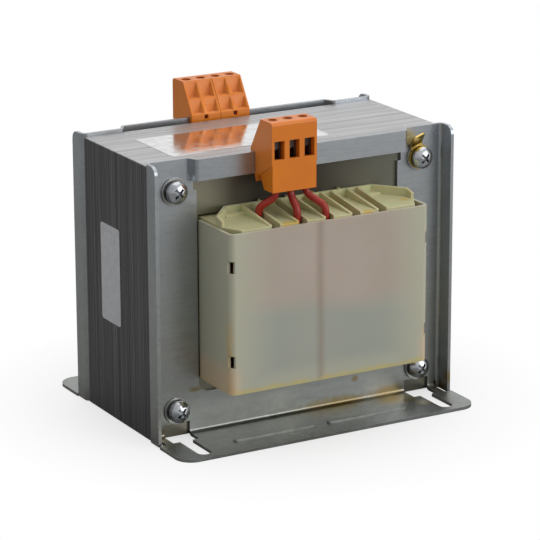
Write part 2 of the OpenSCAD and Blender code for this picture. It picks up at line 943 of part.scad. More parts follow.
// Straight down out of the block, over to the slot, and straight down through it
function lead_route(pole_x, slot_x, out, foot_z) =
    let (top = [pole_x, -rail_y - lead_out, frame_top + cage_foot - cage_fit],
         exit = [top[0], top[1], frame_top - skirt_drop - 0.5],
         over = [slot_x, -out, former_z[1] + 2],
         pull = (exit[2] - over[2]) / 2)
    concat([top],
           [for (i = [0 : 8]) curve(exit, exit - [0, 0, pull],
                                    over + [0, 0, pull], over, i / 8)],
           [[slot_x, -out, foot_z]]);

// Round tube along a route that mostly runs downwards
module lead(route) {
    sides = 10;
    n = len(route);
    rings = [for (i = [0 : n - 1])
        let (t = unit(route[min(i + 1, n - 1)] - route[max(i - 1, 0)]),
             u = unit(cross(t, [0, 1, 0])),
             v = cross(t, u))
        for (k = [0 : sides - 1])
            route[i] + lead_d / 2 * (cos(360 * k / sides) * u
                                     + sin(360 * k / sides) * v)];
    polyhedron(rings, concat(
        [[for (k = [0 : sides - 1]) k]],
        [[for (k = [0 : sides - 1]) n * sides - 1 - k]],
        [for (i = [0 : n - 2], k = [0 : sides - 1])
            let (m = (k + 1) % sides)
            [i * sides + k, (i + 1) * sides + k,
             (i + 1) * sides + m, i * sides + m]]));
}

function pole_x(i, poles) = (i - (poles - 1) / 2) * pole_pitch;
function slot_x(i) = i * lead_slot_pitch - tooth_x;

lead_by_wrap = wrap_y + lead_d / 2 + 0.2;   // a lead that runs down past the wrap
lead_foot = former_z[1] - flange_t - 8;

module front_lead_left() {
    color("firebrick")
        lead(lead_route(front_block_x + pole_x(0, front_poles), slot_x(0),
                        secondary_y, winding_z[1] + 0.1));
}

module front_lead_middle() {
    color("firebrick")
        lead(lead_route(front_block_x + pole_x(1, front_poles), slot_x(1),
                        lead_by_wrap, lead_foot));
}

module front_lead_right() {
    color("firebrick")
        lead(lead_route(front_block_x + pole_x(2, front_poles), slot_x(2),
                        lead_by_wrap + 1.5, lead_foot));
}

// Leads of the rear blocks, counted from the left as seen from the front
module rear_lead(i) {
    side = i < rear_poles ? -1 : 1;
    x = rear_block_x + side * (rear_poles * pole_pitch + block_gap) / 2
        + pole_x(i % rear_poles, rear_poles);
    color("firebrick") mirror([0, 1, 0])
        lead(lead_route(x, slot_x(i), lead_by_wrap, lead_foot));
}

module rear_lead_1() { rear_lead(0); }
module rear_lead_2() { rear_lead(1); }
module rear_lead_3() { rear_lead(2); }
module rear_lead_4() { rear_lead(3); }

// ---------------------------------------------------------------- labels

module top_label() {
    color("whitesmoke") translate([-17.5, -3, core_top])
        linear_extrude(label_t) rounded(top_label_l, top_label_w, 1);
}

module side_label() {
    color("lightgray") translate([-core_w / 2, 5.8, core_lift + 67.4])
        rotate([90, 0, -90]) linear_extrude(label_t)
            rounded(side_label_w, side_label_h, 1.5);
}

core_e_laminations();
core_i_laminations();
front_frame();
rear_frame();
coil_former();
primary_winding();
layer_insulation();
secondary_winding();
outer_wrap();
front_coil_cover();
rear_coil_cover();
clamp_screws();
screw_sleeves();
front_flat_washers();
front_spring_washers();
rear_flat_washers();
rear_spring_washers();
clamp_nuts();
earth_tab();
front_terminal_housing();
front_terminal_cages();
front_terminal_screws();
rear_terminal_housing_left();
rear_terminal_housing_right();
rear_terminal_cages();
rear_terminal_screws();
front_lead_left();
front_lead_middle();
front_lead_right();
rear_lead_1();
rear_lead_2();
rear_lead_3();
rear_lead_4();
top_label();
side_label();
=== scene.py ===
# Laminated chassis transformer: the looks of each piece, in the order it is built up.
# Metres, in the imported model's frame: X along the feet, -Y the front, Z up.
import bpy, bmesh, math, random
from mathutils import Matrix, Quaternion, Vector


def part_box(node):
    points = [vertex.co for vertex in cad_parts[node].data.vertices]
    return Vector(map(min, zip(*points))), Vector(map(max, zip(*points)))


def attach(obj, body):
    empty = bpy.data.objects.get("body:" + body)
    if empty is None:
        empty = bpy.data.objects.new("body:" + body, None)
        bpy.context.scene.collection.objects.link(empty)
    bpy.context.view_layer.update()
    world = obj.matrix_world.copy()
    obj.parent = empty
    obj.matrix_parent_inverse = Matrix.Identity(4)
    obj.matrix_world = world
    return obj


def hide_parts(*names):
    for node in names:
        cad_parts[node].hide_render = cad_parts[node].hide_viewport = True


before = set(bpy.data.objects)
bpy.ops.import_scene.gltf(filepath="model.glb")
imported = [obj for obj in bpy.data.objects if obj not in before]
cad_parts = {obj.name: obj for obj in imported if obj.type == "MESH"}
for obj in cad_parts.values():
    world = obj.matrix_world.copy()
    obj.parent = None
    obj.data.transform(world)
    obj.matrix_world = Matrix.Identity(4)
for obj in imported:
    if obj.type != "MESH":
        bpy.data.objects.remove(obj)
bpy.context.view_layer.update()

# ---------------------------------------------------------------- camera
# A long lens looks a little down on the front left corner of the core. The shift
# only centres the part in the frame.
MM = 0.001
CAM_TURN, CAM_RISE, CAM_ROLL = (math.radians(a) for a in (29.327, 16.309, -0.227))
CAM_REACH, CAM_AIM = 1272.93 * MM, Vector((0, 0, 63 * MM))
back = Vector((-math.sin(CAM_TURN) * math.cos(CAM_RISE),
               -math.cos(CAM_TURN) * math.cos(CAM_RISE), math.sin(CAM_RISE)))
lens = bpy.data.cameras.new("camera")
lens.sensor_width, lens.lens = 36, 185.58
lens.shift_x, lens.shift_y = 0.01120, -0.01067
lens.clip_start, lens.clip_end = 0.1, 20
camera = bpy.data.objects.new("camera", lens)
camera.location = CAM_AIM + back * CAM_REACH
camera.rotation_euler = ((-back).to_track_quat("-Z", "Y")
                         @ Quaternion((0, 0, 1), CAM_ROLL)).to_euler()
bpy.context.collection.objects.link(camera)
bpy.context.scene.camera = camera
bpy.context.scene.view_settings.view_transform = "Standard"

# ---------------------------------------------------------------- light and floor
# A white sweep with one broad soft lamp overhead and another further off at the
# front right. The left has no lamp, so the core's side stays dark.
def lamp(name, where, aim, size, watts):
    """A square soft lamp turned to what it lights."""
    light = bpy.data.lights.new(name, "AREA")
    light.shape, light.size, light.energy = "SQUARE", size, watts
    made = bpy.data.objects.new(name, light)
    made.location = where
    made.rotation_euler = (Vector(aim) - Vector(where)).to_track_quat("-Z", "Y").to_euler()
    bpy.context.collection.objects.link(made)


lamp("overhead_lamp", (0.15, 0.15, 1.1), (0, 0, 0.05), size=1.4, watts=4)
lamp("front_lamp", (0.9, -1.3, 0.6), (0, 0, 0.06), size=1.2, watts=8)


def add(tree, kind, values=(), **props):
    """One shader node: its properties by name, its inputs by name or number."""
    made = tree.nodes.new("ShaderNode" + kind)
    for key, value in props.items():
        setattr(made, key, value)
    for key, value in dict(values).items():
        if isinstance(value, bpy.types.NodeSocket):
            tree.links.new(value, made.inputs[key])
        else:
            made.inputs[key].default_value = value
    return made


def reckon(tree, operation, *values):
    """What one Math node makes of its values."""
    return add(tree, "Math", dict(enumerate(values)), operation=operation).outputs[0]


def spread(tree, value, low, high, to_low=0.0, to_high=1.0):
    """A value stretched from one range to another, and held inside it."""
    return add(tree, "MapRange", {"Value": value, "From Min": low, "From Max": high,
                                  "To Min": to_low, "To Max": to_high}).outputs[0]


def blend(tree, share, low, high):
    """The colour between two others."""
    return add(tree, "Mix", {0: share, 6: low, 7: high}, data_type="RGBA").outputs[2]


# how bright the studio is to the left and right of the part, and added behind it
STUDIO_LEFT, STUDIO_RIGHT, STUDIO_REAR = 0.42, 0.72, 0.15
world = bpy.data.worlds.new("studio")
world.use_nodes = True
bpy.context.scene.world = world
tree = world.node_tree
sky = tree.nodes["Background"]
sky.inputs["Color"].default_value = (1, 1, 1, 1)
way = add(tree, "SeparateXYZ", {0: add(tree, "TexCoord").outputs["Generated"]})
side = spread(tree, way.outputs["X"], -0.9, 0.5, STUDIO_LEFT, STUDIO_RIGHT)
rear = spread(tree, way.outputs["Y"], 0.1, 0.8, 0, STUDIO_REAR)
path = add(tree, "LightPath")
level = add(tree, "Mix", {0: path.outputs["Is Camera Ray"],
                          2: reckon(tree, "ADD", side, rear), 3: 1.0})
tree.links.new(level.outputs[0], sky.inputs["Strength"])

# the paper keeps the shadow near the part, and fades to plain white further out
FLOOR_SIZE, SHADOW_NEAR, SHADOW_FAR = 6, 0.06, 0.14
PAPER, PAPER_SEEN = (0.3, 0.3, 0.29, 1), (0.9, 0.9, 0.9, 1)
bpy.ops.object.select_all(action="DESELECT")
bpy.ops.mesh.primitive_plane_add(size=FLOOR_SIZE, location=(0, 0, 0))
floor = bpy.context.object
floor.name = "studio_floor"
paper = bpy.data.materials.new("floor_paper")
paper.use_nodes = True
tree = paper.node_tree
shader = tree.nodes["Principled BSDF"]
shader.inputs["Roughness"].default_value = 0.9
path = add(tree, "LightPath")
seen = path.outputs["Is Camera Ray"]
tree.links.new(blend(tree, seen, PAPER, PAPER_SEEN), shader.inputs["Base Color"])
spot = add(tree, "TexCoord").outputs["Object"]
far = add(tree, "VectorMath", {0: spot}, operation="LENGTH").outputs["Value"]
white = reckon(tree, "MULTIPLY", spread(tree, far, SHADOW_NEAR, SHADOW_FAR, 0.6), seen)
glow = add(tree, "Emission", {"Strength": 1.0})
both = add(tree, "MixShader", {0: white, 1: shader.outputs[0], 2: glow.outputs[0]})
tree.links.new(both.outputs[0], tree.nodes["Material Output"].inputs["Surface"])
floor.data.materials.append(paper)

# ---------------------------------------------------------------- core
# Grain oriented E and I sheets, half a millimetre thick, stamped, stacked in
# turned packs of ten and varnished. The stack is held by the four long screws.
SHEETS_IN_PACK, PACKS = 10, 12
core_lo, core_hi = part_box("core_e_laminations")
i_lo, i_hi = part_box("core_i_laminations")
CORE_W, CORE_Y = core_hi.x - core_lo.x, max(core_hi.y, i_hi.y)
CORE_LOW, CORE_TOP = min(core_lo.z, i_lo.z), max(core_hi.z, i_hi.z)
LEG = YOKE = CORE_W / 6        # the proportions of E and I sheets cut with no scrap
TONGUE = 2 * LEG
PITCH = 2 * CORE_Y / (SHEETS_IN_PACK * PACKS)
SHEET = PITCH * 0.94           # the rest is varnish
EDGE_PLAY, JOINT_GAP, SLIP = 0.05 * MM, 0.05 * MM, 0.04 * MM


def rgb(r, g, b):
    """A colour as it is seen on screen, 0 to 255, turned linear."""
    return (*[(v / 255) ** 2.2 for v in (r, g, b)], 1)


def material(name, colour, roughness, metallic=0.0):
    """A Principled material with Object coordinates ready for its patterns."""
    made = bpy.data.materials.new(name)
    made.use_nodes = True
    surface = made.node_tree.nodes["Principled BSDF"]
    for key, value in {"Base Color": colour, "Roughness": roughness, "Metallic": metallic}.items():
        surface.inputs[key].default_value = value
    return made, made.node_tree, surface, add(made.node_tree, "TexCoord").outputs["Object"]


def noise(tree, spot, scale, detail):
    """A cloudy value from about 0 to 1, finer as its scale grows."""
    return add(tree, "TexNoise", {"Vector": spot, "Scale": scale, "Detail": detail}).outputs[0]


def dress(tree, surface, tone, rough, height, strength, distance, normal=None):
    """A material's colour, roughness and fine relief, from its patterns."""
    tree.links.new(tone, surface.inputs["Base Color"])
    tree.links.new(rough, surface.inputs["Roughness"])
    bump = add(tree, "Bump", {"Height": height, "Strength": strength, "Distance": distance})
    if normal:
        tree.links.new(normal, bump.inputs["Normal"])
    tree.links.new(bump.outputs[0], surface.inputs["Normal"])


def group(name, ins, outs):
    """An empty node group with its named inputs and outputs."""
    made = bpy.data.node_groups.new(name, "ShaderNodeTree")
    for key, kind, value in ins:
        socket = made.interface.new_socket(key, in_out="INPUT", socket_type="NodeSocket" + kind)
        if kind != "Vector":
            socket.default_value = value
    for key, kind in outs:
        made.interface.new_socket(key, in_out="OUTPUT", socket_type="NodeSocket" + kind)
    return made, made.nodes.new("NodeGroupInput"), made.nodes.new("NodeGroupOutput")


def place(tree, made, values):
    """A node group placed in a material with its own values."""
    return add(tree, "Group", values, node_tree=made)


def join(pieces, name):
    """Many pieces made one, under a new name."""
    bpy.ops.object.select_all(action="DESELECT")
    for piece in pieces:
        piece.select_set(True)
    bpy.context.view_layer.objects.active = pieces[0]
    bpy.ops.object.join()
    pieces[0].name = pieces[0].data.name = name
    return pieces[0]


def one_sheet(low, high, windows):
    """A stamped sheet drawn flat at the front of the stack, then given its thickness."""
    bpy.ops.object.select_all(action="DESELECT")
    bpy.ops.mesh.primitive_plane_add(size=1, rotation=(math.pi / 2, 0, 0))
    sheet = bpy.context.object
    sheet.scale = (CORE_W - 2 * EDGE_PLAY, high - low, 1)
    sheet.location = (0, -CORE_Y, (low + high) / 2)
    bpy.ops.object.transform_apply(location=True, rotation=True, scale=True)
    bpy.ops.object.mode_set(mode="EDIT")
    if windows:
        for x in (-CORE_W / 2 + LEG, -TONGUE / 2, TONGUE / 2, CORE_W / 2 - LEG):
            bpy.ops.mesh.select_all(action="SELECT")
            bpy.ops.mesh.bisect(plane_co=(x, 0, 0), plane_no=(1, 0, 0))
        bpy.ops.mesh.select_all(action="SELECT")
        bpy.ops.mesh.bisect(plane_co=(0, 0, low + YOKE), plane_no=(0, 0, 1))
        shape = bmesh.from_edit_mesh(sheet.data)
        for face in shape.faces:
            middle = face.calc_center_median()
            face.select = (middle.z > low + YOKE
                           and TONGUE / 2 < abs(middle.x) < CORE_W / 2 - LEG)
        bmesh.update_edit_mesh(sheet.data)
        bpy.ops.mesh.delete(type="FACE")
    bpy.ops.mesh.select_all(action="SELECT")
    bpy.ops.mesh.extrude_region_move(TRANSFORM_OT_translate={"value": (0, SHEET, 0)})
    bpy.ops.mesh.select_all(action="SELECT")
    bpy.ops.mesh.normals_make_consistent(inside=False)
    bpy.ops.object.mode_set(mode="OBJECT")
    return sheet


e_sheet = one_sheet(CORE_LOW, CORE_TOP - YOKE, True)
i_sheet = one_sheet(CORE_TOP - YOKE + JOINT_GAP, CORE_TOP, False)
random.seed(7)
stacks = {"core_e_sheets": [], "core_i_sheets": []}
for number in range(SHEETS_IN_PACK * PACKS):
    turned = number // SHEETS_IN_PACK % 2
    for kind, pattern in (("core_e_sheets", e_sheet), ("core_i_sheets", i_sheet)):
        sheet = bpy.data.objects.new(kind, pattern.data.copy())
        bpy.context.collection.objects.link(sheet)
        slip = random.uniform(0, SLIP)
        for v in sheet.data.vertices:
            if turned:
                v.co.z = CORE_LOW + CORE_TOP - v.co.z
            if abs(v.co.x) > CORE_W / 2 - MM:
                v.co.x -= math.copysign(slip, v.co.x)
            v.co.y += number * PITCH
        if turned:
            sheet.data.flip_normals()
        stacks[kind].append(sheet)
for pattern in (e_sheet, i_sheet):
    bpy.data.objects.remove(pattern)

# Streaks that follow one sheet: each takes its own tone, drawn out along its edge
sheet_tone, start, end = group(
    "sheet_tone", [("Position", "Vector", None), ("Pitch", "Float", PITCH)],
    [("Tone", "Float"), ("Streak", "Float"), ("Lit_Top", "Float")])
at = start.outputs["Position"]
part = add(sheet_tone, "SeparateXYZ", {0: at})
count = reckon(sheet_tone, "DIVIDE", part.outputs["Y"], start.outputs["Pitch"])
own = add(sheet_tone, "TexWhiteNoise", {"W": reckon(sheet_tone, "FLOOR", count)},
          noise_dimensions="1D")
bunch = add(sheet_tone, "TexNoise", {"W": count, "Scale": 0.22, "Detail": 2},
            noise_dimensions="1D")
both = add(sheet_tone, "Mix", {0: 0.55, 2: own.outputs["Value"], 3: bunch.outputs[0]})
drawn = add(sheet_tone, "Mapping", {"Vector": at, "Scale": (30, 2500, 30)}).outputs[0]
for key, value in (("Tone", both.outputs[0]), ("Streak", noise(sheet_tone, drawn, 1, 3)),
                   ("Lit_Top", spread(sheet_tone, part.outputs["Z"],
                                    CORE_TOP - 0.6 * MM, CORE_TOP - 0.1 * MM))):
    sheet_tone.links.new(value, end.inputs[key])

# Rubbed edges with a painted highlight, and dirt with painted shade in corners and recesses, for
# every material
wear_and_light, start, end = group("edge_wear_and_light", [("Position", "Vector", None), ("Width", "Float", 0.3 * MM)],
                         [("Rub_And_Highlight", "Float"), ("Dirt_And_Shade", "Float")])
# painted highlight over some real rubbing: lighter where the surface turns over a convex edge, in
# patches
turn = add(wear_and_light, "Bevel", {"Radius": start.outputs["Width"]}, samples=4).outputs[0]
same = add(wear_and_light, "VectorMath", {0: turn, 1: add(wear_and_light, "NewGeometry").outputs["Normal"]},
           operation="DOT_PRODUCT").outputs["Value"]
patch = noise(wear_and_light, start.outputs["Position"], 350, 3)
rub_and_highlight = reckon(wear_and_light, "MULTIPLY", spread(wear_and_light, same, 0.995, 0.86), spread(wear_and_light, patch, 0.36, 0.6))
# painted shade over some real dirt: darker where ambient occlusion finds a corner or recess close
# by
near = add(wear_and_light, "AmbientOcclusion", {"Distance": 1.6 * MM}, samples=4)
wear_and_light.links.new(rub_and_highlight, end.inputs["Rub_And_Highlight"])
wear_and_light.links.new(spread(wear_and_light, near.outputs["AO"], 0.7, 0.25), end.inputs["Dirt_And_Shade"])


def wear_light_and_shade(tree, spot, tone, rub_and_highlight, dirt_and_shade_tone, edge=0.6, dirt_and_shade_share=0.6):
    """A tone with its edges rubbed and given a painted highlight, and its corners dirty and given
    painted shade.
    """
    marks = place(tree, wear_and_light, {"Position": spot})
    tone = blend(tree, spread(tree, marks.outputs["Dirt_And_Shade"], 0, 1, 0, dirt_and_shade_share), tone, dirt_and_shade_tone)
    return blend(tree, spread(tree, marks.outputs["Rub_And_Highlight"], 0, 1, 0, edge), tone, rub_and_highlight)


core_steel, tree, surface, spot = material("core_steel", rgb(120, 118, 112), 0.38, 0.85)
lines = place(tree, sheet_tone, {"Position": spot})
tint, streak = spread(tree, lines.outputs["Tone"], 0.22, 0.78), lines.outputs["Streak"]
part = add(tree, "SeparateXYZ", {0: spot})
# the cut edges take a darker tone at the sides and a lighter one on top: the lighter top is a
# painted highlight where the overhead lamp falls
side = blend(tree, tint, rgb(74, 74, 76), rgb(136, 137, 139))
side = blend(tree, spread(tree, streak, 0.35, 0.7), side, rgb(92, 92, 93))
top = blend(tree, tint, rgb(166, 166, 168), rgb(218, 218, 218))
top = blend(tree, spread(tree, streak, 0.5, 0.8), top, rgb(142, 142, 142))
# the flat skin of the outer sheets, which shows in the frames' windows
skin = blend(tree, spread(tree, part.outputs["X"], -46 * MM, -20 * MM),
             rgb(142, 139, 124), rgb(72, 69, 63))
skin = blend(tree, spread(tree, part.outputs["X"], 10 * MM, 50 * MM), skin, rgb(120, 119, 108))
outer = spread(tree, reckon(tree, "ABSOLUTE", part.outputs["Y"]),
               CORE_Y - 0.1 * MM, CORE_Y - 0.02 * MM)
tone = blend(tree, lines.outputs["Lit_Top"], side, top)
dress(tree, surface, blend(tree, outer, tone, skin), spread(tree, streak, 0.3, 0.7, 0.3, 0.46),
      streak, 0.25, 0.05 * MM)

for kind, node in (("core_e_sheets", "core_e_laminations"),
                   ("core_i_sheets", "core_i_laminations")):
    stack = join(stacks[kind], kind)
    stack.data.materials.clear()
    stack.data.materials.append(core_steel)
    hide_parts(node)
    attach(stack, "root")

# ---------------------------------------------------------------- frames
# Two identical frames, punched and folded from 1.5 mm galvanised sheet. They
# clamp the core between them, and carry its feet and the terminal rail.
def finished(node, name, made_of, round_to=0.0, smooth=35):
    """A merged copy of a node, with its sharp edges broken and its curves smooth."""
    bpy.ops.object.select_all(action="DESELECT")
    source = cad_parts[node]
    piece = bpy.data.objects.new(name, source.data.copy())
    piece.data.transform(source.matrix_world)
    bpy.context.collection.objects.link(piece)
    piece.select_set(True)
    bpy.context.view_layer.objects.active = piece
    bpy.ops.object.mode_set(mode="EDIT")
    bpy.ops.mesh.select_all(action="SELECT")
    bpy.ops.mesh.remove_doubles(threshold=0.002 * MM)
    bpy.ops.mesh.dissolve_limited(angle_limit=math.radians(1))
    bpy.ops.object.mode_set(mode="OBJECT")
    if round_to:
        edge = piece.modifiers.new("edge", "BEVEL")
        edge.width, edge.segments = round_to, 2
        edge.limit_method, edge.angle_limit = "ANGLE", math.radians(32)
        bpy.ops.object.modifier_apply(modifier="edge")
    bpy.ops.object.shade_smooth_by_angle(angle=math.radians(smooth))
    flat = piece.modifiers.new("flat", "WEIGHTED_NORMAL")
    flat.keep_sharp = True
    bpy.ops.object.modifier_apply(modifier="flat")
    piece.data.materials.clear()
    piece.data.materials.append(made_of)
    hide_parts(node)
    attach(piece, "root")


def stain_mask(name, spots, fray):
    """Impregnating varnish that ran down and dried: spots of it, frayed by a noise."""
    made, start, end = group(name, [("Position", "Vector", None)], [("Amount", "Float")])
    at, total = start.outputs["Position"], 0.0
    wild = noise(made, at, 140, 4)
    for x, y, z, reach, wide in spots:
        off = add(made, "VectorMath", {0: at, 1: (x * MM, y * MM, z * MM)}, operation="SUBTRACT")
        thin = add(made, "VectorMath", {0: off.outputs[0], 1: (1 / wide, 1, 1)},
                   operation="MULTIPLY")
        far = add(made, "VectorMath", {0: thin.outputs[0]}, operation="LENGTH")
        edge = reckon(made, "MULTIPLY_ADD", wild, fray * MM, far.outputs["Value"])
        near = spread(made, edge, (0.4 * reach + fray / 2) * MM, (reach + fray / 2) * MM, 1, 0)
        total = reckon(made, "MAXIMUM", total, near)
    made.links.new(total, end.inputs["Amount"])
    return made


# each stain's place and reach in mm, and how many times wider than high it is. The
# last four are on the rear frame
frame_stain = stain_mask("frame_stain", (
    (20, -33.5, 3, 3.2, 9), (46, -33, 3, 3.6, 4), (48, -41, 1.5, 7, 1.6), (56, -50, 1.5, 5, 1.2),
    (72, -36, 3, 5, 0.8), (75, -40, 8, 5, 0.7), (-72, -34, 2, 3.4, 1.2), (-66, -32.5, 4, 2.2, 2),
    (0, -32, 19, 2.6, 14), (-52, -32, 21, 2, 3), (30, -32, 12, 2.2, 1),
    (-30, 33.5, 3, 3, 8), (-66, 34, 2, 3, 1.2), (70, 34, 2, 3, 1), (0, 32, 19, 2.4, 13)), 5)

galvanised, tree, surface, spot = material("galvanised_sheet", rgb(170, 172, 174), 0.3, 0.88)
spangle = add(tree, "TexVoronoi", {"Vector": spot, "Scale": 420})
flake = add(tree, "SeparateColor", {0: spangle.outputs["Color"]})
cloud, fine = noise(tree, spot, 38, 5), noise(tree, spot, 900, 2)
drawn = add(tree, "Mapping", {"Vector": spot, "Scale": (60, 900, 900)}).outputs[0]
rolled = noise(tree, drawn, 1, 3)
height = add(tree, "SeparateXYZ", {0: spot}).outputs["Z"]
# painted shade on the foot and its bend, which reflect only the plate above them; a slightly blue
# upper end; then clouds, spangle and rolling marks
FADE_TOP = 126 * MM
tone = blend(tree, spread(tree, height, 0, FADE_TOP), rgb(168, 170, 162), rgb(180, 186, 193))
tone = blend(tree, spread(tree, height, 2 * MM, 10 * MM), rgb(132, 134, 126), tone)
tone = blend(tree, spread(tree, cloud, 0.35, 0.7, 0, 0.7), tone, rgb(158, 162, 164))
tone = blend(tree, spread(tree, flake.outputs["Red"], 0, 1, 0, 0.14), tone, rgb(206, 208, 210))
tone = blend(tree, spread(tree, rolled, 0.5, 0.75, 0, 0.3), tone, rgb(138, 140, 142))
stained = place(tree, frame_stain, {"Position": spot}).outputs["Amount"]
tone = blend(tree, reckon(tree, "MULTIPLY", stained, 0.8), tone, rgb(136, 114, 50))
# edges lighter with a painted highlight over real rubbing, corners darker with painted shade over
# dirt
tone = wear_light_and_shade(tree, spot, tone, rgb(226, 228, 228), rgb(70, 68, 58), 0.7, 0.45)
tree.links.new(stained, surface.inputs["Coat Weight"])
surface.inputs["Coat Roughness"].default_value = 0.12
dress(tree, surface, tone, spread(tree, cloud, 0.3, 0.7, 0.26, 0.4), fine, 0.06, 0.1 * MM)
for node in ("front_frame", "rear_frame"):
    finished(node, node.replace("frame", "sheet_frame"), galvanised, 0.18 * MM)

# ---------------------------------------------------------------- coil former
# Glass filled nylon, moulded in one piece: a square tube with an end plate at
# each end, lead slots in the upper one and a low wall against the yoke.
def shade(colour, times, plus=0.0):
    """A colour made lighter or darker."""
    return (*[min(1, v * times + plus) for v in colour[:3]], 1)


def moulded(name, colour, patch, roughness, depth, mask=None, tint=None):
    """Moulded plastic: two close colours in soft patches over a fine grain, with a painted
    highlight on its edges and painted shade in its corners.
    """
    made, tree, surface, spot = material(name, colour, roughness)
    surface.inputs["Subsurface Weight"].default_value = depth
    surface.inputs["Subsurface Scale"].default_value = 2 * MM
    cloud = noise(tree, spot, 60, 4)
    tone = blend(tree, spread(tree, cloud, 0.3, 0.7), colour, patch)
    if mask:
        share = place(tree, mask, {"Position": spot}).outputs["Amount"]
        tone = blend(tree, share, tone, tint)
    tone = wear_light_and_shade(tree, spot, tone, shade(colour, 1.25, 0.02), shade(colour, 0.4), 0.6, 0.35)
    soft = add(tree, "Bevel", {"Radius": 0.25 * MM}, samples=6).outputs[0]
    dress(tree, surface, tone, spread(tree, cloud, 0.3, 0.7, roughness - 0.05, roughness + 0.07),
          noise(tree, spot, 2500, 2), 0.15, 0.05 * MM, soft)
    return made


former_stain = stain_mask("former_stain", (
    (-48, -58, 99, 3, 1), (-20, -58, 99, 2.5, 3), (20, -58, 99, 2, 2), (44, -50, 99, 3, 1),
    (0, -58, 27, 3, 20), (0, 58, 27, 3, 20)), 4)
former = moulded("former_nylon", rgb(204, 202, 160), rgb(190, 188, 142), 0.4, 0.25,
                 former_stain, rgb(206, 178, 96))
finished("coil_former", "moulded_coil_former", former, 0.15 * MM)

# ---------------------------------------------------------------- windings
# Enamelled copper in close turns, with paper between primary and secondary and
# varnished tape round the outside.
def wound_look(name, colour, dark, pitch, metallic, roughness):
    """Turns or layers that lie over each other, one pitch apart."""
    made, tree, surface, spot = material(name, colour, roughness, metallic)
    height = add(tree, "SeparateXYZ", {0: spot}).outputs["Z"]
    wave = reckon(tree, "SINE", reckon(tree, "MULTIPLY", height, 2 * math.pi / pitch))
    high = spread(tree, wave, -1, 1)
    cloud = noise(tree, spot, 90, 3)
    # each turn or layer is painted darker in its groove and lighter on its crest, a painted shade
    # and highlight that follow the relief; edges and corners also get painted highlight and shade
    tone = blend(tree, high, dark, colour)
    tone = blend(tree, spread(tree, cloud, 0.4, 0.8), tone, dark)
    dress(tree, surface, wear_light_and_shade(tree, spot, tone, colour, dark),
          spread(tree, cloud, 0.3, 0.7, roughness - 0.06, roughness + 0.08), high, 1.0, pitch / 4)
    return made


def coat(node, look):
    """A node's own mesh with a material of the scene's."""
    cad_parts[node].data.materials.clear()
    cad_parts[node].data.materials.append(look)


coat("primary_winding",
     wound_look("primary_wire", rgb(196, 98, 48), rgb(120, 48, 22), 0.9 * MM, 0.5, 0.3))
coat("secondary_winding",
     wound_look("secondary_wire", rgb(206, 104, 52), rgb(126, 54, 26), 2 * MM, 0.5, 0.3))
coat("layer_insulation",
     wound_look("layer_paper", rgb(190, 170, 120), rgb(180, 158, 108), 20 * MM, 0, 0.7))
coat("outer_wrap",
     wound_look("wrap_tape", rgb(196, 120, 60), rgb(170, 92, 44), 12 * MM, 0, 0.4))

# ---------------------------------------------------------------- coil covers
# Two thin nylon shells that clip over the end plates, one from the front and
# one from the rear. The coil behind them shows through as a warmer patch.
cover_lo, cover_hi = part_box("front_coil_cover")
cover_nylon, tree, surface, spot = material("cover_nylon", rgb(186, 184, 168), 0.42)
surface.inputs["Subsurface Weight"].default_value = 0.2
surface.inputs["Subsurface Scale"].default_value = 2 * MM
part = add(tree, "SeparateXYZ", {0: spot})
along, height = part.outputs["X"], part.outputs["Z"]
across, depth = reckon(tree, "ABSOLUTE", along), reckon(tree, "ABSOLUTE", part.outputs["Y"])
cloud, soft = noise(tree, spot, 24, 3), noise(tree, spot, 130, 5)
# cool where varnish stands behind the shell, up to a level that leans a little, and warm above
LEVEL_LOW, LEVEL_HIGH, LEVEL_LEAN, LEVEL_FRAY = 59 * MM, 69 * MM, 0.095, 7 * MM
uneven = spread(tree, cloud, 0.35, 0.65)
warm = blend(tree, uneven, rgb(182, 169, 154), rgb(190, 176, 164))
cool = blend(tree, uneven, rgb(172, 174, 162), rgb(166, 170, 160))
lean = reckon(tree, "MULTIPLY_ADD", along, LEVEL_LEAN, height)
level = reckon(tree, "MULTIPLY_ADD", cloud, LEVEL_FRAY, lean)
middle = blend(tree, spread(tree, level, LEVEL_LOW, LEVEL_HIGH), cool, warm)
# the plain nylon outside the coil's outline
rim = reckon(tree, "MAXIMUM", spread(tree, across, 28 * MM, 47 * MM),
             spread(tree, height, 36 * MM, 30 * MM, 0, 0.6))
tone = blend(tree, rim, middle, rgb(190, 189, 168))
# shadow of the seam in the coil's wrap, a little left of the middle
SEAM_X, SEAM_W = -4.5 * MM, 3.2 * MM
seam = reckon(tree, "MULTIPLY_ADD", cloud, 2 * MM, along)
seam = reckon(tree, "ABSOLUTE", reckon(tree, "SUBTRACT", seam, SEAM_X))
tone = blend(tree, spread(tree, seam, 0, SEAM_W, 0.5, 0), tone, rgb(146, 124, 106))
# amber varnish along the lower edge, and up the front corners to where the level was
drip = reckon(tree, "MULTIPLY_ADD", soft, -5 * MM, height)
low = spread(tree, drip, cover_lo.z - 2 * MM, cover_lo.z + 0.4 * MM, 0.8, 0)
tone = blend(tree, low, tone, rgb(198, 184, 118))
corner = reckon(tree, "MULTIPLY", spread(tree, across, cover_hi.x - 2 * MM, cover_hi.x - 0.8 * MM),
                spread(tree, depth, -cover_lo.y - 6 * MM, -cover_lo.y - 3 * MM))
streak = reckon(tree, "MULTIPLY", corner, spread(tree, height, 66 * MM, 40 * MM))
streak = reckon(tree, "MULTIPLY", streak, spread(tree, soft, 0.4, 0.62))
tone = blend(tree, streak, tone, rgb(204, 178, 118))
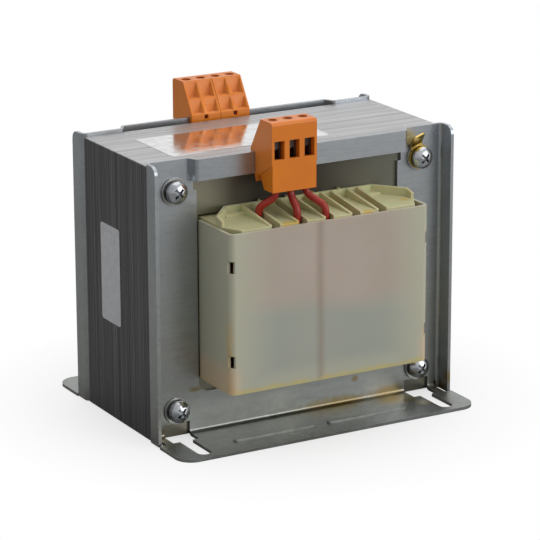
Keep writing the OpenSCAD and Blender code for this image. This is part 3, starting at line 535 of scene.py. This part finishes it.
# a pinkish tinge at the lower corners
pink = reckon(tree, "MULTIPLY", spread(tree, across, 44 * MM, 49 * MM),
              spread(tree, height, 41 * MM, 34 * MM))
tone = blend(tree, reckon(tree, "MULTIPLY", pink, 0.6), tone, rgb(222, 190, 156))
tone = wear_light_and_shade(tree, spot, tone, rgb(214, 212, 192), rgb(120, 104, 70), 0.6, 0.4)
dress(tree, surface, tone, spread(tree, soft, 0.3, 0.7, 0.36, 0.5),
      noise(tree, spot, 2500, 2), 0.12, 0.05 * MM)
for node in ("front_coil_cover", "rear_coil_cover"):
    finished(node, node.replace("coil_cover", "clip_cover"), cover_nylon, 0.2 * MM)

# ---------------------------------------------------------------- screws, washers, nuts
# Four long cheese head screws in fibre sleeves, zinc plated and passivated, with
# a flat and a spring washer at each end and a plain nut at the rear.
def plated(name, light, dark, roughness):
    """Bare or plated metal in two close shades, with painted shade in its recesses and a painted
    highlight on its edges.
    """
    made, tree, surface, spot = material(name, light, roughness, 1.0)
    cloud = noise(tree, spot, 260, 4)
    tone = blend(tree, spread(tree, cloud, 0.35, 0.65), light, dark)
    tone = wear_light_and_shade(tree, spot, tone, shade(light, 1.2), shade(dark, 0.12), 0.7, 0.9)
    dress(tree, surface, tone, spread(tree, cloud, 0.3, 0.7, roughness - 0.04, roughness + 0.08),
          noise(tree, spot, 1800, 2), 0.08, 0.05 * MM)
    return made


zinc = plated("zinc_screws", rgb(214, 217, 221), rgb(188, 192, 198), 0.16)
finished("clamp_screws", "cross_recess_screws", zinc, 0.25 * MM)
washer_zinc = plated("zinc_washers", rgb(190, 190, 188), rgb(160, 160, 158), 0.28)
for node in ("front_flat_washers", "rear_flat_washers"):
    finished(node, "plated_" + node, washer_zinc, 0.12 * MM)
spring = plated("spring_steel", rgb(150, 150, 150), rgb(118, 118, 120), 0.3)
for node in ("front_spring_washers", "rear_spring_washers"):
    finished(node, "split_" + node, spring, 0.1 * MM)
nut_zinc = plated("zinc_nuts", rgb(216, 216, 212), rgb(190, 190, 186), 0.24)
finished("clamp_nuts", "hexagon_nuts", nut_zinc, 0.2 * MM)
coat("screw_sleeves",
     wound_look("sleeve_fibre", rgb(150, 120, 80), rgb(120, 92, 60), 3 * MM, 0, 0.6))

# ---------------------------------------------------------------- earth tab
# Brass plug-on tab with a ring foot, held under the upper right screw head.
brass = plated("tab_brass", rgb(228, 200, 118), rgb(200, 166, 84), 0.26)
finished("earth_tab", "plug_on_tab", brass, 0.1 * MM)

# ---------------------------------------------------------------- terminal blocks
# Flame retardant orange plastic, clipped over the frames' top rails. Each pole
# holds a plated steel cage and a slotted screw, under a driver hole with a collar.
orange = moulded("terminal_plastic", rgb(232, 130, 34), rgb(224, 121, 30), 0.3, 0.05)
for node in ("front_terminal_housing", "rear_terminal_housing_left",
             "rear_terminal_housing_right"):
    finished(node, node.replace("housing", "block"), orange, smooth=25)

# the collar's radii and height, the rims left round its two openings, the round of its
# edges, and how far its mouth lies under the block's top
COLLAR_TOP_R, COLLAR_LOW_R, COLLAR_H = 3.05 * MM, 2.25 * MM, 1.55 * MM
RIM_TOP, RIM_LOW, COLLAR_ROUND = 0.9 * MM, 0.1 * MM, 0.15 * MM
COLLAR_SUNK, SCREW_HEAD_R = 0.055 * MM, 2 * MM


def pick_faces(piece, facing):
    """Selects the faces that look up (1) or down (-1)."""
    shape = bmesh.from_edit_mesh(piece.data)
    for face in shape.faces:
        face.select = face.normal.z * facing > 0.9
    bmesh.update_edit_mesh(piece.data)


# one collar, its mouth at the origin, to be copied over each screw: a short cone with
# an opening in each end. It has no wall inside, so it is an open shell
bpy.ops.object.select_all(action="DESELECT")
bpy.ops.mesh.primitive_cone_add(vertices=40, radius1=COLLAR_LOW_R, radius2=COLLAR_TOP_R,
                                depth=COLLAR_H, location=(0, 0, -COLLAR_H / 2))
first_collar = bpy.context.object
bpy.ops.object.transform_apply(location=True, rotation=True, scale=True)
bpy.ops.object.mode_set(mode="EDIT")
for facing, rim in ((1, RIM_TOP), (-1, RIM_LOW)):
    pick_faces(first_collar, facing)
    bpy.ops.mesh.inset(thickness=rim)
    bpy.ops.mesh.delete(type="FACE")
bpy.ops.mesh.select_all(action="SELECT")
bpy.ops.mesh.normals_make_consistent(inside=False)
bpy.ops.object.mode_set(mode="OBJECT")
edge = first_collar.modifiers.new("edge", "BEVEL")
edge.width, edge.segments, edge.limit_method = COLLAR_ROUND, 2, "ANGLE"
bpy.ops.object.modifier_apply(modifier="edge")
bpy.ops.object.shade_smooth_by_angle(angle=math.radians(35))
first_collar.data.materials.append(orange)

for block, screws, poles in (("front_terminal_housing", "front_terminal_screws", 3),
                             ("rear_terminal_housing_left", "rear_terminal_screws", 4)):
    lo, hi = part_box(screws)
    pole_gap = (hi.x - lo.x - 2 * SCREW_HEAD_R) / (poles - 1)
    for pole in range(poles):
        name = "%s_collar_%d" % (block.partition("_")[0], pole + 1)
        collar = bpy.data.objects.new(name, first_collar.data.copy())
        collar.data.name = name
        collar.data.transform(Matrix.Translation((
            lo.x + SCREW_HEAD_R + pole * pole_gap, (lo.y + hi.y) / 2,
            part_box(block)[1].z - COLLAR_SUNK)))
        bpy.context.collection.objects.link(collar)
        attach(collar, "root")
bpy.data.objects.remove(first_collar)

cage = plated("cage_steel", rgb(112, 108, 102), rgb(84, 80, 74), 0.4)
for node in ("front_terminal_cages", "rear_terminal_cages"):
    finished(node, "plated_" + node, cage, 0.1 * MM)
clamp = plated("terminal_screw_steel", rgb(206, 206, 202), rgb(170, 170, 168), 0.3)
for node in ("front_terminal_screws", "rear_terminal_screws"):
    finished(node, "slotted_" + node, clamp, 0.1 * MM)

# ---------------------------------------------------------------- leads
# Stranded copper in dark red silicone, from the foot of each terminal down
# through the former's slots to the coil.
red = moulded("lead_sleeve", rgb(168, 50, 36), rgb(146, 38, 28), 0.3, 0.02)
for node in ("front_lead_left", "front_lead_middle", "front_lead_right",
             "rear_lead_1", "rear_lead_2", "rear_lead_3", "rear_lead_4"):
    finished(node, "silicone_" + node, red)

# ---------------------------------------------------------------- rating plates
# Thin blank foil plates stuck on: a bright one on top, a matt one on the left
# side. Both are left bare.
top_plate = plated("top_plate", rgb(244, 244, 244), rgb(226, 226, 226), 0.1)
finished("top_label", "blank_top_plate", top_plate)
side_plate = plated("side_plate", rgb(232, 233, 238), rgb(218, 219, 224), 0.42)
finished("side_label", "blank_side_plate", side_plate)
